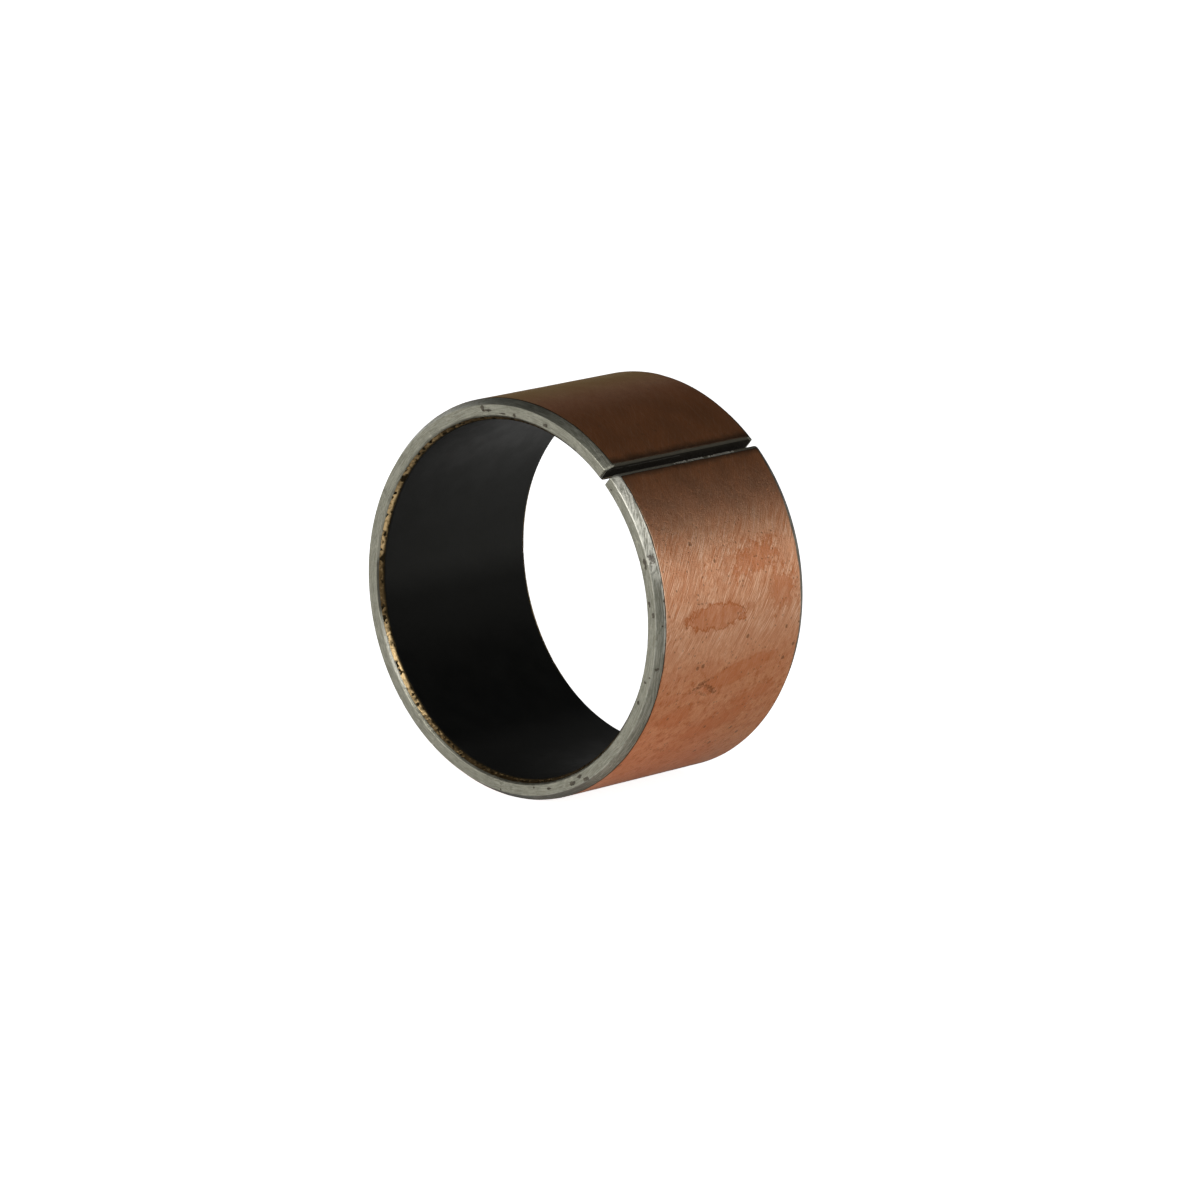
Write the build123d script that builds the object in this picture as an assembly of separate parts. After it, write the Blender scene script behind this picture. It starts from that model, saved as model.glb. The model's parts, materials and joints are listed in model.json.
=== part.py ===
from build123d import *
import os

# Wrapped sliding bush, rolled from a bonded strip: a steel backing, plated outside with copper and
# lined inside with sintered porous bronze and a sliding layer. A butt joint splits it along its length.
#
# Frame, in mm: +Z up. The bush lies on its side with its axis along +Y. The origin is on the axis, half
# way along the bush.

# Driving sizes
BORE_DIAMETER = 25.0
OUTSIDE_DIAMETER = 28.0
LENGTH = 15.0

# Layers between the bore and the outside; the steel backing takes what is left of the wall
LINER_THICKNESS = 0.03
BRONZE_THICKNESS = 0.22
PLATING_THICKNESS = 0.03

# End chamfers: along the axis, then across the wall
OUTER_CHAMFER_LENGTH = 0.62
OUTER_CHAMFER_DEPTH = 0.40
INNER_CHAMFER_LENGTH = 0.50
INNER_CHAMFER_DEPTH = 0.38

# Butt joint: the gap between its two faces, how far round and how deep the outer edge of each lip is
# broken, and where the joint stands, in degrees from +X up towards +Z
SEAM_GAP = 0.55
UPPER_EDGE_WIDTH = 0.17
UPPER_EDGE_DEPTH = 0.12
LOWER_EDGE_WIDTH = 0.35
LOWER_EDGE_DEPTH = 0.20
SEAM_ANGLE = 47.8

# The cutting shape runs past the wall by this much on every side
CUTTER_MARGIN = 1.0

bore_radius = BORE_DIAMETER / 2
outside_radius = OUTSIDE_DIAMETER / 2
liner_outer_radius = bore_radius + LINER_THICKNESS
bronze_outer_radius = liner_outer_radius + BRONZE_THICKNESS
steel_outer_radius = outside_radius - PLATING_THICKNESS
half_length = LENGTH / 2


def wall_envelope():
    """The whole wall of the ring with its four end chamfers, before it is split into layers."""
    flat_inner = bore_radius + INNER_CHAMFER_DEPTH
    flat_outer = outside_radius - OUTER_CHAMFER_DEPTH
    bore_end = half_length - INNER_CHAMFER_LENGTH
    outside_end = half_length - OUTER_CHAMFER_LENGTH
    corners = [
        (bore_radius, -bore_end),
        (flat_inner, -half_length),
        (flat_outer, -half_length),
        (outside_radius, -outside_end),
        (outside_radius, outside_end),
        (flat_outer, half_length),
        (flat_inner, half_length),
        (bore_radius, bore_end),
    ]
    section = make_face(Polyline(*corners, close=True))
    return revolve(section, Axis.Y)


def ring(inner_radius, outer_radius):
    """A plain ring as long as the bush, between two radii."""
    corners = [
        (inner_radius, -half_length),
        (outer_radius, -half_length),
        (outer_radius, half_length),
        (inner_radius, half_length),
    ]
    section = make_face(Polyline(*corners, close=True))
    return revolve(section, Axis.Y)


def flared_edge(side, edge_width, edge_depth):
    """Half of the joint's outline on one side of its middle, from the bore to outside the wall."""
    face = SEAM_GAP / 2
    flare_start = outside_radius - edge_depth
    flare_end = outside_radius + CUTTER_MARGIN
    flared = face + edge_width / edge_depth * (flare_end - flare_start)
    return [
        (bore_radius - CUTTER_MARGIN, side * face),
        (flare_start, side * face),
        (flare_end, side * flared),
    ]


def seam_cutter():
    """The gap of the butt joint, flared where the outer edge of each lip is broken."""
    lower = flared_edge(-1, LOWER_EDGE_WIDTH, LOWER_EDGE_DEPTH)
    upper = flared_edge(1, UPPER_EDGE_WIDTH, UPPER_EDGE_DEPTH)
    outline = make_face(Polyline(*lower, *reversed(upper), close=True))
    cutter = extrude(outline, amount=half_length + CUTTER_MARGIN, both=True)
    upright = Rot(90, 0, 0) * cutter
    return Rot(0, -SEAM_ANGLE, 0) * upright


def layer(inner_radius, outer_radius):
    """One bonded layer of the wall: the part of the split, chamfered ring between two radii."""
    return wall_envelope() & ring(inner_radius, outer_radius) - seam_cutter()


def steel_backing():
    """The load-carrying steel strip."""
    return layer(bronze_outer_radius, steel_outer_radius)


def copper_plating():
    """The copper skin on the outside, which ends where the end chamfers and seam edges cut it."""
    return layer(steel_outer_radius, outside_radius)


def porous_bronze_layer():
    """The sintered bronze that keys the sliding layer to the steel."""
    return layer(liner_outer_radius, bronze_outer_radius)


def ptfe_liner():
    """The sliding layer, whose inside is the bore."""
    return layer(bore_radius, liner_outer_radius)


nodes = {
    "steel_backing": steel_backing(),
    "copper_plating": copper_plating(),
    "porous_bronze_layer": porous_bronze_layer(),
    "ptfe_liner": ptfe_liner(),
}

os.makedirs("parts", exist_ok=True)
for name, solid in nodes.items():
    export_step(solid, f"parts/{name}.step")
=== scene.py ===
"""Looks of a wrapped sliding bush: a split ring of plated steel strip, lined with bronze and a black film.

Every layer of the wall is one closed mesh. A place on the wall is told in strip coordinates, in millimetres:
how far round from the middle of the joint, how far along the bush, and how deep under the outside, as if the
ring were rolled out flat again. The shapes and the finishes both read them.
"""
from __future__ import annotations

import json
import logging
import math
from dataclasses import dataclass
from enum import Enum
from functools import partial, reduce
from typing import Any, Sequence

import bpy
import numpy as np
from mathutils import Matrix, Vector


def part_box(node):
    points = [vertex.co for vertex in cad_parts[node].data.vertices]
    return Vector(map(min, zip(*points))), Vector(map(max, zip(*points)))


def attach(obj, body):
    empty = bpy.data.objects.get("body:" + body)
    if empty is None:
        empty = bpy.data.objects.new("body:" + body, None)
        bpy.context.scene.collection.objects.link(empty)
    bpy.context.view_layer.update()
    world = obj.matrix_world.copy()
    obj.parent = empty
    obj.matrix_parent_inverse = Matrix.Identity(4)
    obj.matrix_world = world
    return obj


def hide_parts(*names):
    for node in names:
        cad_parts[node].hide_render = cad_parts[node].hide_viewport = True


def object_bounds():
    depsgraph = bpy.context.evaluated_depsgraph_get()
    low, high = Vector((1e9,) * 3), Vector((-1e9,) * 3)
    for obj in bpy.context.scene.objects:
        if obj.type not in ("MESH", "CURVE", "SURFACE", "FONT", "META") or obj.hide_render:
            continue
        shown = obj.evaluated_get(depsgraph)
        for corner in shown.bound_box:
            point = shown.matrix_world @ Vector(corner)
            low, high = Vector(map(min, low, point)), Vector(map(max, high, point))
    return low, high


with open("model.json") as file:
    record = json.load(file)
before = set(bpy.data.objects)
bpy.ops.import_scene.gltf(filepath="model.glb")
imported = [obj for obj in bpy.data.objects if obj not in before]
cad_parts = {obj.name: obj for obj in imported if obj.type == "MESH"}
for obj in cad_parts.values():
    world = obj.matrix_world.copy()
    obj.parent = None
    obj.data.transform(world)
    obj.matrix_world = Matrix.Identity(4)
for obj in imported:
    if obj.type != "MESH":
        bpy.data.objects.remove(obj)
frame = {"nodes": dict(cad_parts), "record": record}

CAD_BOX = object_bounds()
MM = 0.001
BODY = "root"
log = logging.getLogger("bush")
Array = np.ndarray
Socket = bpy.types.NodeSocket
Colour = tuple[float, float, float]

# Mesh attributes that the finishes read: the strip coordinates, and masks from 0 to 1.
STRIP = "strip"
PORE = "pore"
GLEAM = "gleam"
WEAR_AND_GLINT = "wear_and_glint"
LIP = "lip"

# A reach or distance in mm that no place on the wall comes up to.
FAR = 99


# ---------------------------------------------------------------------------------------------- noise

def hash_unit(cells: Array, seed: int) -> Array:
    """Turns whole-number cells into even, repeatable values from 0 to 1.

    Each cell's three numbers are multiplied by large odd numbers, added, and stirred by shifts.

    Args:
        cells: whole numbers, the last axis holding x, y and z.
        seed: picks another pattern.

    Returns:
        One value from 0 to 1 for each cell.
    """
    c = cells.astype(np.int64)
    h = c[..., 0] * 374761393 + c[..., 1] * 668265263 + c[..., 2] * 1442695041 + seed * 1274126177
    h &= 0xFFFFFFFF
    h = ((h ^ (h >> 13)) * 1274126177) & 0xFFFFFFFF
    h = ((h ^ (h >> 16)) * 1103515245) & 0xFFFFFFFF
    return (h ^ (h >> 15)).astype(float) / 0xFFFFFFFF


def soft_noise(points: Array, seed: int) -> Array:
    """Smooth noise from 0 to 1: the hashed corners of each unit cell, eased into each other.

    Args:
        points: places, the last axis holding x, y and z in cells.
        seed: picks another pattern.

    Returns:
        One value for each place.
    """
    base = np.floor(points)
    part = points - base
    ease = part * part * (3 - 2 * part)
    total = np.zeros(points.shape[:-1])
    for corner in np.ndindex(2, 2, 2):
        step = np.array(corner)
        weight = np.prod(np.where(step == 1, ease, 1 - ease), axis=-1)
        total += weight * hash_unit(base + step, seed)
    return total


def layered_noise(points: Array, size: Sequence[float], seed: int, octaves: int = 3) -> Array:
    """Soft noise added up at finer and finer sizes, each half as strong, kept from 0 to 1.

    Args:
        points: places in strip coordinates, in mm.
        size: the coarsest cell's size round, along and across, in mm.
        seed: picks another pattern.
        octaves: how many sizes are added.

    Returns:
        One value for each place.
    """
    total = np.zeros(points.shape[:-1])
    weights = 0.0
    for octave in range(octaves):
        strength = 0.5 ** octave
        total += strength * soft_noise(points / np.array(size) * 2 ** octave, seed + octave)
        weights += strength
    return total / weights


def grain_noise(points: Array, size: float, seed: int) -> tuple[Array, Array]:
    """Packed grains: each place's distance to the nearest hashed grain centre, and that grain's own value.

    Args:
        points: places in strip coordinates, in mm.
        size: the grains' spacing in mm.
        seed: picks another packing.

    Returns:
        The distance in grain spacings, and the nearest grain's value from 0 to 1.
    """
    scaled = points / size
    base = np.floor(scaled)
    nearest = np.full(points.shape[:-1], 9.0)
    value = np.zeros(points.shape[:-1])
    for offset in np.ndindex(3, 3, 3):
        cell = base + np.array(offset) - 1
        spot = np.stack([hash_unit(cell, seed + axis) for axis in range(3)], axis=-1)
        distance = np.linalg.norm(cell + spot - scaled, axis=-1)
        closer = distance < nearest
        nearest = np.where(closer, distance, nearest)
        value = np.where(closer, hash_unit(cell, seed + 7), value)
    return nearest, value


def soft_min(a: Array, b: Array, width: float) -> Array:
    """The lesser of two heights, with the corner between them rounded over a width."""
    return np.minimum(a, b) - np.maximum(width - np.abs(a - b), 0) ** 2 / (4 * width)


def ease_between(value: Array, low: float, high: float) -> Array:
    """0 below low, 1 above high, and an S-shaped step between them."""
    t = np.clip((value - low) / (high - low), 0, 1)
    return t * t * (3 - 2 * t)


# ----------------------------------------------------------------------------------------------- wall

@dataclass(frozen=True)
class Lip:
    """One lip of the joint: how far its face stands from the joint's middle, and its broken outer edge."""

    face: float
    width: float
    depth: float

    def stand_off(self, radius: Array, outside: float) -> Array:
        """The lip's distance from the joint's middle plane at each radius, all in mm."""
        broken = np.maximum(radius - (outside - self.depth), 0) / self.depth
        return self.face + self.width * broken


@dataclass(frozen=True)
class Wall:
    """The whole wall of the ring, measured on the frame. Lengths are in mm and angles in radians."""

    bore: float
    liner_out: float
    bronze_out: float
    steel_out: float
    outside: float
    half_length: float
    bore_half: float
    seat_half: float
    inner_depth: float
    outer_depth: float
    seam: float
    lower: Lip
    upper: Lip
    crease: float = 0.05
    lip_corner: float = 0.12

    @classmethod
    def from_frame(cls) -> Wall:
        """Reads the wall's sizes off the CAD boxes, the mounts and the lips of the CAD meshes."""
        mounts = {m["name"]: m["dims"] for m in frame["record"]["mounts"]}
        reach = {node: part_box(node)[1] / MM for node in frame["nodes"]}
        bore, outside = mounts["bore"]["r_mm"], mounts["outer_seat"]["r_mm"]
        bore_half, seat_half = (mounts[name]["length_mm"] / 2 for name in ("bore", "outer_seat"))
        half_length = reach["steel_backing"].y
        liner_out, bronze_out = reach["ptfe_liner"].x, reach["porous_bronze_layer"].x
        steel_out = reach["steel_backing"].x
        inner_slope = (reach["porous_bronze_layer"].y - bore_half) / (bronze_out - bore)
        outer_slope = (reach["copper_plating"].y - seat_half) / (outside - steel_out)
        face_low, face_high = lip_angles("ptfe_liner", bore)
        seam = (face_low + face_high) / 2
        face = bore * math.sin(face_high - seam)
        under, edge = lip_angles("copper_plating", steel_out), lip_angles("copper_plating", outside)
        lips = []
        for side in (0, 1):
            width = outside * math.sin(abs(edge[side] - seam)) - face
            width_under = steel_out * math.sin(abs(under[side] - seam)) - face
            lips.append(Lip(face, width, width * (outside - steel_out) / (width - width_under)))
        return cls(
            bore, liner_out, bronze_out, steel_out, outside, half_length, bore_half, seat_half,
            (half_length - bore_half) / inner_slope, (half_length - seat_half) / outer_slope,
            seam, lips[0], lips[1],
        )

    def half_at(self, radius: Array) -> Array:
        """Half the wall's length at each radius: level, less both end chamfers, with rounded creases."""
        inner_slope = (self.half_length - self.bore_half) / self.inner_depth
        outer_slope = (self.half_length - self.seat_half) / self.outer_depth
        inner = self.half_length + (radius - self.bore - self.inner_depth) * inner_slope
        outer = self.half_length + (self.outside - self.outer_depth - radius) * outer_slope
        level = np.full_like(radius, self.half_length)
        return soft_min(soft_min(level, outer, self.crease), inner, self.crease)

    def round_at(self, degrees: float) -> float:
        """The strip coordinate round the ring, in mm, of an angle from +X up towards +Z."""
        return (math.radians(degrees) - self.seam) % math.tau * self.outside

    def sway(self, strip: Array) -> Array:
        """How far the rolled wall dips inwards, in mm: slow waves left by the rolls, alike in all layers."""
        return 0.022 * layered_noise(strip * (1, 1, 0), (9, 14, 1), 5, 2)


def lip_angles(node: str, radius: float) -> tuple[float, float]:
    """The angles of the joint's two lips at one radius of a CAD node, in radians from +X towards +Z.

    A lip's faces are the ones that look round the ring, and the two lips look opposite ways.

    Args:
        node: the CAD node's name.
        radius: the radius in mm.

    Returns:
        The lower and the upper lip's angle.
    """
    mesh = frame["nodes"][node].data
    found: dict[bool, list[float]] = {True: [], False: []}
    for face in mesh.polygons:
        tangent = Vector((-face.center.z, 0, face.center.x)).normalized()
        looks_round = face.normal.dot(tangent)
        if abs(looks_round) < 0.3 or abs(face.normal.y) > 0.3:
            continue
        for place in (mesh.vertices[corner].co / MM for corner in face.vertices):
            if abs(math.hypot(place.x, place.z) - radius) < 0.004:
                found[looks_round > 0].append(math.atan2(place.z, place.x))
    lower, upper = (sum(angles) / len(angles) for angles in (found[True], found[False]))
    return lower, upper


# ------------------------------------------------------------------------------------------- lattices

@dataclass(frozen=True)
class Lattice:
    """Where a layer's skin is sampled, as shares from 0 to 1 round, along and across the layer.

    The inner and the outer side may skip samples round the ring where another layer hides them.
    """

    round_shares: Array
    along_shares: Array
    across_shares: Array
    inner_step: int = 1
    outer_step: int = 1

    def shape(self) -> tuple[int, int, int]:
        """The number of samples each way."""
        return len(self.round_shares), len(self.along_shares), len(self.across_shares)

    def polygons(self) -> list[Array]:
        """The skin's faces as rows of sample numbers, one array for each number of corners."""
        ids = np.arange(np.prod(self.shape())).reshape(self.shape())
        found = [
            tiles(ids[:, 0, :])[:, ::-1],
            tiles(ids[:, -1, :]),
            tiles(ids[0, :, :]),
            tiles(ids[-1, :, :])[:, ::-1],
        ]
        found += tiles_skipping(ids[:, :, 0], self.inner_step)
        found += [rows[:, ::-1] for rows in tiles_skipping(ids[:, :, -1], self.outer_step)]
        return found


def tiles(grid: Array) -> Array:
    """Four-cornered faces over a grid of sample numbers, turning from the first axis to the second."""
    corners = (grid[:-1, :-1], grid[1:, :-1], grid[1:, 1:], grid[:-1, 1:])
    return np.stack([c.ravel() for c in corners], axis=1)


def tiles_skipping(grid: Array, step: int) -> list[Array]:
    """Faces over a grid that keeps every sample on its two end columns, and every step-th between them.

    A fan of step + 3 corners joins each coarse tile to the fine samples of the end column.

    Args:
        grid: sample numbers, round by along; the samples round less one divide by step.
        step: how many samples round a coarse tile spans.

    Returns:
        The coarse tiles, then the fans at either end.
    """
    if step == 1:
        return [tiles(grid)]
    coarse = grid[::step]
    starts = np.arange(0, grid.shape[0] - 1, step)
    fine = starts[:, None] + np.arange(step + 1)
    first = np.concatenate([grid[fine, 0], coarse[1:, 1:2], coarse[:-1, 1:2]], axis=1)
    last = np.concatenate([coarse[:-1, -2:-1], coarse[1:, -2:-1], grid[fine[:, ::-1], -1]], axis=1)
    return [tiles(coarse[:, 1:-1]), first, last]


def graded(stops: Sequence[float], counts: Sequence[int]) -> Array:
    """Samples from the first stop to the last, with a chosen number of even steps between each two stops.

    Args:
        stops: rising values.
        counts: the number of steps between each two of them.

    Returns:
        The samples, with no value twice.
    """
    runs = [np.linspace(a, b, n, endpoint=False) for a, b, n in zip(stops, stops[1:], counts)]
    return np.concatenate([*runs, [stops[-1]]])


# --------------------------------------------------------------------------------------------- layers

@dataclass
class Layer:
    """One bonded layer of the wall, made as the skin of a block that is bent round the bore."""

    wall: Wall
    finish: Finish
    name: str = ""
    node: str = ""
    slot: str = ""
    sharp_degrees: float = 40

    def radii(self) -> tuple[float, float]:
        """The layer's inner and outer radius in mm."""
        raise NotImplementedError

    def lattice(self) -> Lattice:
        """Where the layer's skin is sampled."""
        raise NotImplementedError

    def relief(self, strip: Array, shares: Array) -> tuple[Array, Array, Array]:
        """How far each place is cut back, in mm: off the radius, off the end, and off the joint face.

        Args:
            strip: strip coordinates of each place.
            shares: shares round, along and across the layer.

        Returns:
            Three arrays, one value for each place.
        """
        none = np.zeros(len(strip))
        return none, none, none

    def marks(self, strip: Array, shares: Array) -> dict[str, Array]:
        """The layer's own masks for its finish, by attribute name."""
        return {}

    def places(self, shares: Array) -> tuple[Array, Array]:
        """Bends the block round the bore.

        The radius runs straight from the inner to the outer side. The angle runs straight from the upper lip
        round to the lower one, and each lip lies on its own face. The length is the wall's length at that
        radius, less a quarter-round corner at each lip. Relief is taken off last.

        Args:
            shares: shares round, along and across the layer, one row for each sample.

        Returns:
            Places in mm, and their strip coordinates.
        """
        wall = self.wall
        inner, outer = self.radii()
        radius = inner + (outer - inner) * shares[:, 2]
        half = wall.half_at(radius)
        side = 2 * shares[:, 1] - 1
        first = np.arcsin(wall.upper.stand_off(radius, wall.outside) / radius)
        last = math.tau - np.arcsin(wall.lower.stand_off(radius, wall.outside) / radius)
        turn = first + (last - first) * shares[:, 0]
        strip = np.stack([turn * wall.outside, side * half, wall.outside - radius], axis=1)
        off_radius, off_end, off_face = self.relief(strip, shares)
        to_lip = np.minimum(turn - first, last - turn) * radius
        corner = np.maximum(wall.lip_corner - to_lip, 0)
        off_end = off_end + wall.lip_corner - np.sqrt(wall.lip_corner ** 2 - corner ** 2)
        lip_side = np.sign(shares[:, 0] - 0.5) * ease_between(-to_lip, -0.4, 0)
        turn = turn - lip_side * off_face / radius
        radius = radius - off_radius - wall.sway(strip)
        angle = wall.seam + turn
        y = side * (half - off_end * ease_between(np.abs(side), 0.9, 1))
        return np.stack([radius * np.cos(angle), y, radius * np.sin(angle)], axis=1), strip

    def build(self) -> bpy.types.Object:
        """Makes the layer's mesh and object, dresses it and puts it on the frame."""
        lattice = self.lattice()
        groups = lattice.polygons()
        used, corners = np.unique(np.concatenate([g.ravel() for g in groups]), return_inverse=True)
        sizes = np.concatenate([np.full(len(g), g.shape[1]) for g in groups])
        round_at, along_at, across_at = np.unravel_index(used, lattice.shape())
        shares = np.stack([
            lattice.round_shares[round_at],
            lattice.along_shares[along_at],
            lattice.across_shares[across_at],
        ], axis=1)
        places, strip = self.places(shares)
        mesh = bpy.data.meshes.new(self.name)
        mesh.vertices.add(len(places))
        mesh.vertices.foreach_set("co", (places * MM).astype(np.float32).ravel())
        mesh.loops.add(len(corners))
        mesh.loops.foreach_set("vertex_index", corners.astype(np.int32).ravel())
        mesh.polygons.add(len(sizes))
        mesh.polygons.foreach_set("loop_start", (np.cumsum(sizes) - sizes).astype(np.int32))
        mesh.update(calc_edges=True)
        mesh.validate()
        mesh.shade_smooth()
        mesh.set_sharp_from_angle(angle=math.radians(self.sharp_degrees))
        place_on_strip = mesh.attributes.new(STRIP, "FLOAT_VECTOR", "POINT")
        place_on_strip.data.foreach_set("vector", strip.astype(np.float32).ravel())
        for name, values in self.marks(strip, shares).items():
            mask = mesh.attributes.new(name, "FLOAT", "POINT")
            mask.data.foreach_set("value", values.astype(np.float32))
        mesh.materials.append(self.finish.material())
        piece = bpy.data.objects.new(self.name, mesh)
        bpy.context.scene.collection.objects.link(piece)
        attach(piece, BODY)
        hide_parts(self.node)
        return piece


@dataclass
class SteelBacking(Layer):
    """The load-carrying strip: turned ends, dark end chamfers, sheared joint faces."""

    name: str = "steel_strip"
    node: str = "steel_backing"
    slot: str = "steel"

    def radii(self) -> tuple[float, float]:
        """From the bronze to the plating."""
        return self.wall.bronze_out, self.wall.steel_out

    def lattice(self) -> Lattice:
        """Fine over the ends and the joint faces, coarse where bronze and plating hide the steel."""
        wall = self.wall
        thickness = wall.steel_out - wall.bronze_out
        inner_crease = (wall.bore + wall.inner_depth - wall.bronze_out) / thickness
        outer_crease = (wall.outside - wall.outer_depth - wall.bronze_out) / thickness
        blend = wall.crease / thickness
        across = graded(
            [0, inner_crease - blend, inner_crease + blend, outer_crease - blend, outer_crease + blend, 1],
            [2, 3, 7, 4, 6],
        )
        along = graded([0, 0.02, 0.98, 1], [4, 240, 4])
        return Lattice(np.linspace(0, 1, 961), along, across, inner_step=16, outer_step=16)

    def relief(self, strip: Array, shares: Array) -> tuple[Array, Array, Array]:
        """Pits and turning marks on the ends, nicks along the creases, and torn metal on the joint faces."""
        wall = self.wall
        turned = 0.004 * layered_noise(strip * (1, 0, 1), (1.8, 1, 0.14), 11, 2)
        nicks = 0.05 * ease_between(layered_noise(strip, (0.7, 0.4, 0.3), 23, 2), 0.68, 0.85)
        pits = sum(spot.hollow(wall, strip) for spot in RUST_SPOTS)
        torn = 0.02 * layered_noise(strip, (1, 0.5, 0.35), 31, 4)
        crumbs = 0.05 * self.broken(strip, shares) * soft_noise(strip / (0.3, 0.16, 0.12), 37)
        return crumbs, turned + nicks + pits, torn

    def broken(self, strip: Array, shares: Array) -> Array:
        """1 along the stretch of the lower lip's broken edge where the sheared metal crumbled."""
        stretch = ease_between(strip[:, 1], -2.2, -1.0) * ease_between(-strip[:, 1], -5.2, -3.9)
        return stretch * (shares[:, 0] == 1) * ease_between(strip[:, 2], 0.03, 0.08)

    def marks(self, strip: Array, shares: Array) -> dict[str, Array]:
        """The crumbs, painted highlight and painted shade on the inner chamfer, and joint faces painted as
        shade.
        """
        wall = self.wall
        angle = np.degrees(strip[:, 0] / wall.outside + wall.seam)
        inner = ease_between(strip[:, 2], wall.outside - wall.bore - wall.inner_depth, 1.17)
        # Painted highlight on the inner chamfer, about 195 to 216 degrees.
        wear_and_highlight = 0.5 * inner * ease_between(angle, 192, 198) * ease_between(-angle, -221, -214)
        # Painted shade on the inner chamfer, about 175 to 192 degrees.
        stain_and_shade = inner * ease_between(angle, 172, 177) * ease_between(-angle, -194, -190)
        on_lip = ((shares[:, 0] == 0) | (shares[:, 0] == 1)) & (np.abs(shares[:, 1] - 0.5) < 0.492)
        lower_edge = (shares[:, 0] == 1) & (strip[:, 2] < wall.lower.depth + 0.01)
        crumbs = ease_between(layered_noise(strip, (0.3, 0.22, 0.1), 47, 2), 0.48, 0.56)
        return {
            WEAR_AND_GLINT: np.where(on_lip, crumbs * self.broken(strip, shares), wear_and_highlight),
            LIP: np.where(on_lip, np.where(lower_edge, 0.93, 1.0), 0.8 * stain_and_shade),
        }


@dataclass
class CopperPlating(Layer):
    """The copper skin, whose edges are ragged where the chamfers and the joint cut it."""

    name: str = "copper_skin"
    node: str = "copper_plating"
    slot: str = "copper"

    def radii(self) -> tuple[float, float]:
        """From the steel to the outside."""
        return self.wall.steel_out, self.wall.outside

    def lattice(self) -> Lattice:
        """Fine over the outside, coarse against the steel."""
        along = graded([0, 0.02, 0.98, 1], [3, 84, 3])
        return Lattice(np.linspace(0, 1, 881), along, np.array([0.0, 0.6, 1.0]), inner_step=8)

    def relief(self, strip: Array, shares: Array) -> tuple[Array, Array, Array]:
        """A ragged edge at the ends and lips, and shallow dents over the outside."""
        edge = layered_noise(strip * (1, 1, 0), (1.1, 1.1, 1), 53, 4)
        dents = 0.008 * ease_between(layered_noise(strip * (1, 1, 0), (1.6, 1.2, 1), 61, 3), 0.5, 0.8)
        return dents * shares[:, 2], 0.1 * edge ** 2, 0.12 * edge ** 2


@dataclass
class BronzeLayer(Layer):
    """Sintered bronze: packed grains that show where the inner chamfer cuts through them."""

    name: str = "bronze_grains"
    node: str = "porous_bronze_layer"
    slot: str = "bronze"
    sharp_degrees: float = 75
    grain: float = 0.2

    def radii(self) -> tuple[float, float]:
        """From the liner to the steel."""
        return self.wall.liner_out, self.wall.bronze_out

    def lattice(self) -> Lattice:
        """Very fine round the chamfers, coarse between the liner and the steel."""
        along = graded([0, 0.01, 0.99, 1], [2, 24, 2])
        return Lattice(np.linspace(0, 1, 2001), along, np.linspace(0, 1, 11), inner_step=20, outer_step=20)

    def grains(self, strip: Array) -> tuple[Array, Array]:
        """Each place's distance from the middle of its grain, and the grain's own value."""
        return grain_noise(strip * (0.75, 1, 1), self.grain, 71)

    def relief(self, strip: Array, shares: Array) -> tuple[Array, Array, Array]:
        """Round grains with pores sunk between them."""
        distance, value = self.grains(strip)
        pores = ease_between(distance, 0.5, 0.95)
        inside = ease_between(shares[:, 2], 0, 0.1) * ease_between(-shares[:, 2], -1, -0.9)
        sunk = (0.07 * pores + 0.06 * ease_between(value, 0.86, 0.88)) * inside
        return np.zeros(len(strip)), sunk, 0.03 * pores

    def marks(self, strip: Array, shares: Array) -> dict[str, Array]:
        """The pores, where dark filler shows between the grains, and each stretch's gleam, partly wear and
        partly painted highlight.
        """
        distance, value = self.grains(strip)
        torn_edge = 0.2 + 0.55 * layered_noise(strip * (1, 0, 0), (0.4, 1, 1), 79, 4)
        at_edge = 0.9 * ease_between(-shares[:, 2], -torn_edge, 0)
        pore = 0.7 * ease_between(distance, 0.6, 0.95) + ease_between(value, 0.86, 0.88) + at_edge
        angle = np.degrees(strip[:, 0] / self.wall.outside + self.wall.seam)
        # The gleam: partly wear, partly a painted highlight where light falls.
        gleam = np.interp(angle, [run[0] for run in BRONZE_GLEAM], [run[1] for run in BRONZE_GLEAM])
        return {PORE: np.clip(pore, 0, 1), GLEAM: gleam}


@dataclass
class SlidingLiner(Layer):
    """The black sliding film that lines the bore."""

    name: str = "sliding_film"
    node: str = "ptfe_liner"
    slot: str = "liner"

    def radii(self) -> tuple[float, float]:
        """From the bore to the bronze."""
        return self.wall.bore, self.wall.liner_out

    def lattice(self) -> Lattice:
        """Fine over the bore, coarse against the bronze."""
        along = graded([0, 0.02, 0.98, 1], [3, 74, 3])
        return Lattice(np.linspace(0, 1, 801), along, np.array([0.0, 0.5, 1.0]), outer_step=8)

    def relief(self, strip: Array, shares: Array) -> tuple[Array, Array, Array]:
        """A film end torn between the grains, and the faint print of the grains under the film."""
        edge = layered_noise(strip * (1, 0, 0), (0.35, 1, 1), 83, 3)
        print_through = 0.006 * layered_noise(strip * (1, 1, 0), (0.7, 0.7, 1), 89, 3)
        return -print_through * (1 - shares[:, 2]) * 0.5, 0.12 * edge, 0.04 * edge


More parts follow.
